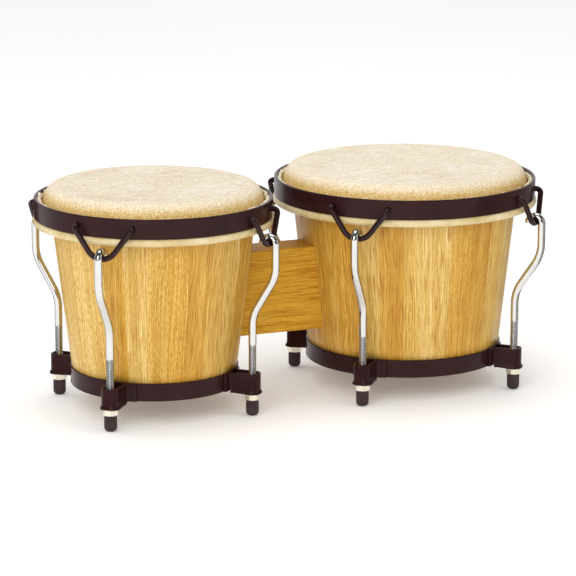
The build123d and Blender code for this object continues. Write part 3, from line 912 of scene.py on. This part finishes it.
def build_world():
    """White surroundings. Reflections see a grey studio with a white backdrop behind the object."""
    world = bpy.data.worlds.new("studio")
    world.use_nodes = True
    tree = world.node_tree
    place = tree.nodes.new("ShaderNodeTexCoord")
    path = tree.nodes.new("ShaderNodeLightPath")

    def facing(angle):
        """From -1 to 1: how far a direction points to an angle, clockwise from straight back."""
        node = tree.nodes.new("ShaderNodeVectorMath")
        node.operation = "DOT_PRODUCT"
        node.inputs[1].default_value = (math.sin(angle), math.cos(angle), 0)
        tree.links.new(place.outputs["Generated"], node.inputs[0])
        return node.outputs["Value"]

    def grey_ramp(value, *stops):
        """A ramp of two (position, grey level) stops."""
        node = tree.nodes.new("ShaderNodeValToRGB")
        for element, (position, level) in zip(node.color_ramp.elements, stops):
            element.position = position
            element.color = grey(level)
        tree.links.new(value, node.inputs["Fac"])
        return node.outputs["Color"]

    def either(factor, first, second):
        """The first background, or the second where the factor is 1."""
        node = tree.nodes.new("ShaderNodeMixShader")
        for socket, output in zip(node.inputs, (factor, first, second)):
            tree.links.new(output, socket)
        return node.outputs[0]

    soft = tree.nodes["Background"]
    soft.inputs["Strength"].default_value = 1.1
    half = tree.nodes.new("ShaderNodeMapRange")
    half.inputs["From Min"].default_value = -1.0
    tree.links.new(facing(DIM_SIDE), half.inputs["Value"])
    falloff = grey_ramp(half.outputs["Result"], (0.0, 1.0), (1.0, 0.45))
    tree.links.new(falloff, soft.inputs["Color"])
    mirrored = tree.nodes.new("ShaderNodeBackground")
    shade = grey_ramp(facing(VIEW_TURN), (0.25, 0.09), (0.6, 1.0))
    tree.links.new(shade, mirrored.inputs["Color"])
    seen = tree.nodes.new("ShaderNodeBackground")
    seen.inputs["Strength"].default_value = 1.1
    lit = either(path.outputs["Is Glossy Ray"], soft.outputs[0], mirrored.outputs[0])
    surface = either(path.outputs["Is Camera Ray"], lit, seen.outputs[0])
    tree.links.new(surface, tree.nodes["World Output"].inputs["Surface"])
    bpy.context.scene.world = world


def build_lamps():
    """A large soft key from the front left, a weaker fill from the right and one from above."""
    aim = Vector((0, 0, 0.09))
    lamps = {
        "key": ((-1.2, -1.5, 1.0), 1.3, 13.0),
        "fill": ((1.5, -1.2, 0.7), 1.0, 2.4),
        "top": ((0.1, 0.2, 1.8), 1.4, 9.0),
    }
    for name, (place, size, power) in lamps.items():
        data = bpy.data.lights.new(name, "AREA")
        data.shape = "SQUARE"
        data.size = size
        data.energy = power
        lamp = bpy.data.objects.new(name, data)
        lamp.location = place
        lamp.rotation_euler = (aim - Vector(place)).to_track_quat("-Z", "Y").to_euler()
        bpy.context.collection.objects.link(lamp)


def build_cards():
    """A black card on the left and a grey one on the right, seen only in reflections.

    They draw the edges of chrome against the white backdrop.
    """
    ahead = Vector((math.sin(VIEW_TURN), math.cos(VIEW_TURN), 0))
    right = Vector((math.cos(VIEW_TURN), -math.sin(VIEW_TURN), 0))
    up = Vector((0, 0, CARD_HEIGHT))
    cards = {"black_card": (-0.29, 0.03, 0.015), "grey_card": (0.29, -0.12, 0.42)}
    for name, (side, start, shade) in cards.items():
        g = Graph(name, {"Roughness": 0.9, "Specular IOR Level": 0.0})
        place = g.place()
        felt = g.noise(g.stretch(place, (20, 20, 20)))
        g.finish(g.ramp(felt, (0.3, grey(0.95 * shade)), (0.7, grey(1.05 * shade))))
        near = right * side + ahead * start
        far = right * side + ahead * CARD_END
        card = new_piece(name, [near, far, far + up, near + up], [(0, 1, 2, 3)], g.material)
        card.visible_camera = False
        card.visible_diffuse = False
        card.visible_shadow = False


def build_camera(macho):
    """The photograph's viewpoint: far off, a little above, turned towards the small drum's side."""
    aim = Vector((macho.x + VIEW_AIM_FROM_MACHO, 0.0, VIEW_AIM_HEIGHT))
    back = Vector((
        -math.sin(VIEW_TURN) * math.cos(VIEW_RISE),
        -math.cos(VIEW_TURN) * math.cos(VIEW_RISE),
        math.sin(VIEW_RISE),
    ))
    data = bpy.data.cameras.new("camera")
    data.lens = VIEW_LENS
    data.sensor_width = 36.0
    camera = bpy.data.objects.new("camera", data)
    camera.location = aim + back * VIEW_DISTANCE
    turn = (-back).to_track_quat("-Z", "Y").to_euler()
    turn.rotate_axis("Z", VIEW_ROLL)
    camera.rotation_euler = turn
    bpy.context.collection.objects.link(camera)
    bpy.context.scene.camera = camera


# ---- putting it together ------------------------------------------------------------------------
def main():
    """Builds every piece, the studio and the camera."""
    stave_shades = ((0.82, 0.60, 0.22), (0.70, 0.45, 0.097), (0.55, 0.305, 0.04))
    block_shades = ((0.68, 0.375, 0.040), (0.65, 0.35, 0.034), (0.61, 0.315, 0.028))
    stave_wood = oak("stave_wood", stave_coordinates, True, *stave_shades)
    block_wood = oak("block_wood", block_coordinates, False, *block_shades)
    skin = rawhide()
    paint = dark_paint("dark_paint", (0.023, 0.0065, 0.007), (0.034, 0.011, 0.012), 0.13, 0.18, 0.28)
    gloss = dark_paint("gloss_paint", (0.017, 0.005, 0.0055), (0.026, 0.009, 0.010), 0.24, 0.08, 0.14)
    bright, dull, cut = (0.72, 0.72, 0.70), (0.66, 0.66, 0.64), (0.56, 0.56, 0.57)
    # edge=0.15 paints a shaded outline on the chrome by darkening its grazing reflections
    chrome = plated("chrome", bright, dull, 0.03, 0.08, edge=0.15, thread=cut)
    zinc = plated("zinc", (0.90, 0.86, 0.74), (0.80, 0.74, 0.58), 0.22, 0.36)
    wire = plated("hoop_wire", (0.55, 0.55, 0.55), (0.45, 0.42, 0.38), 0.3, 0.45)
    rubber = foot_rubber()
    drums = [Drum("macho"), Drum("hembra")]
    for seed, drum in enumerate(drums, start=3):
        build_shell(drum, stave_wood, seed)
        build_head(drum, skin, seed)
        build_tucked_edge(drum, skin, seed)
        build_rods(drum, chrome)
        build_ears(drum, paint)
        build_feet(drum, rubber)
        keep_cad_nodes(drum, paint, gloss, zinc, wire)
    repaint("centre_block", block_wood)
    repaint("tie_rods", zinc)
    repaint("tie_rod_nuts", zinc)
    build_floor()
    build_world()
    build_lamps()
    build_cards()
    build_camera(drums[0])
    bpy.context.scene.view_settings.view_transform = "Standard"


main()
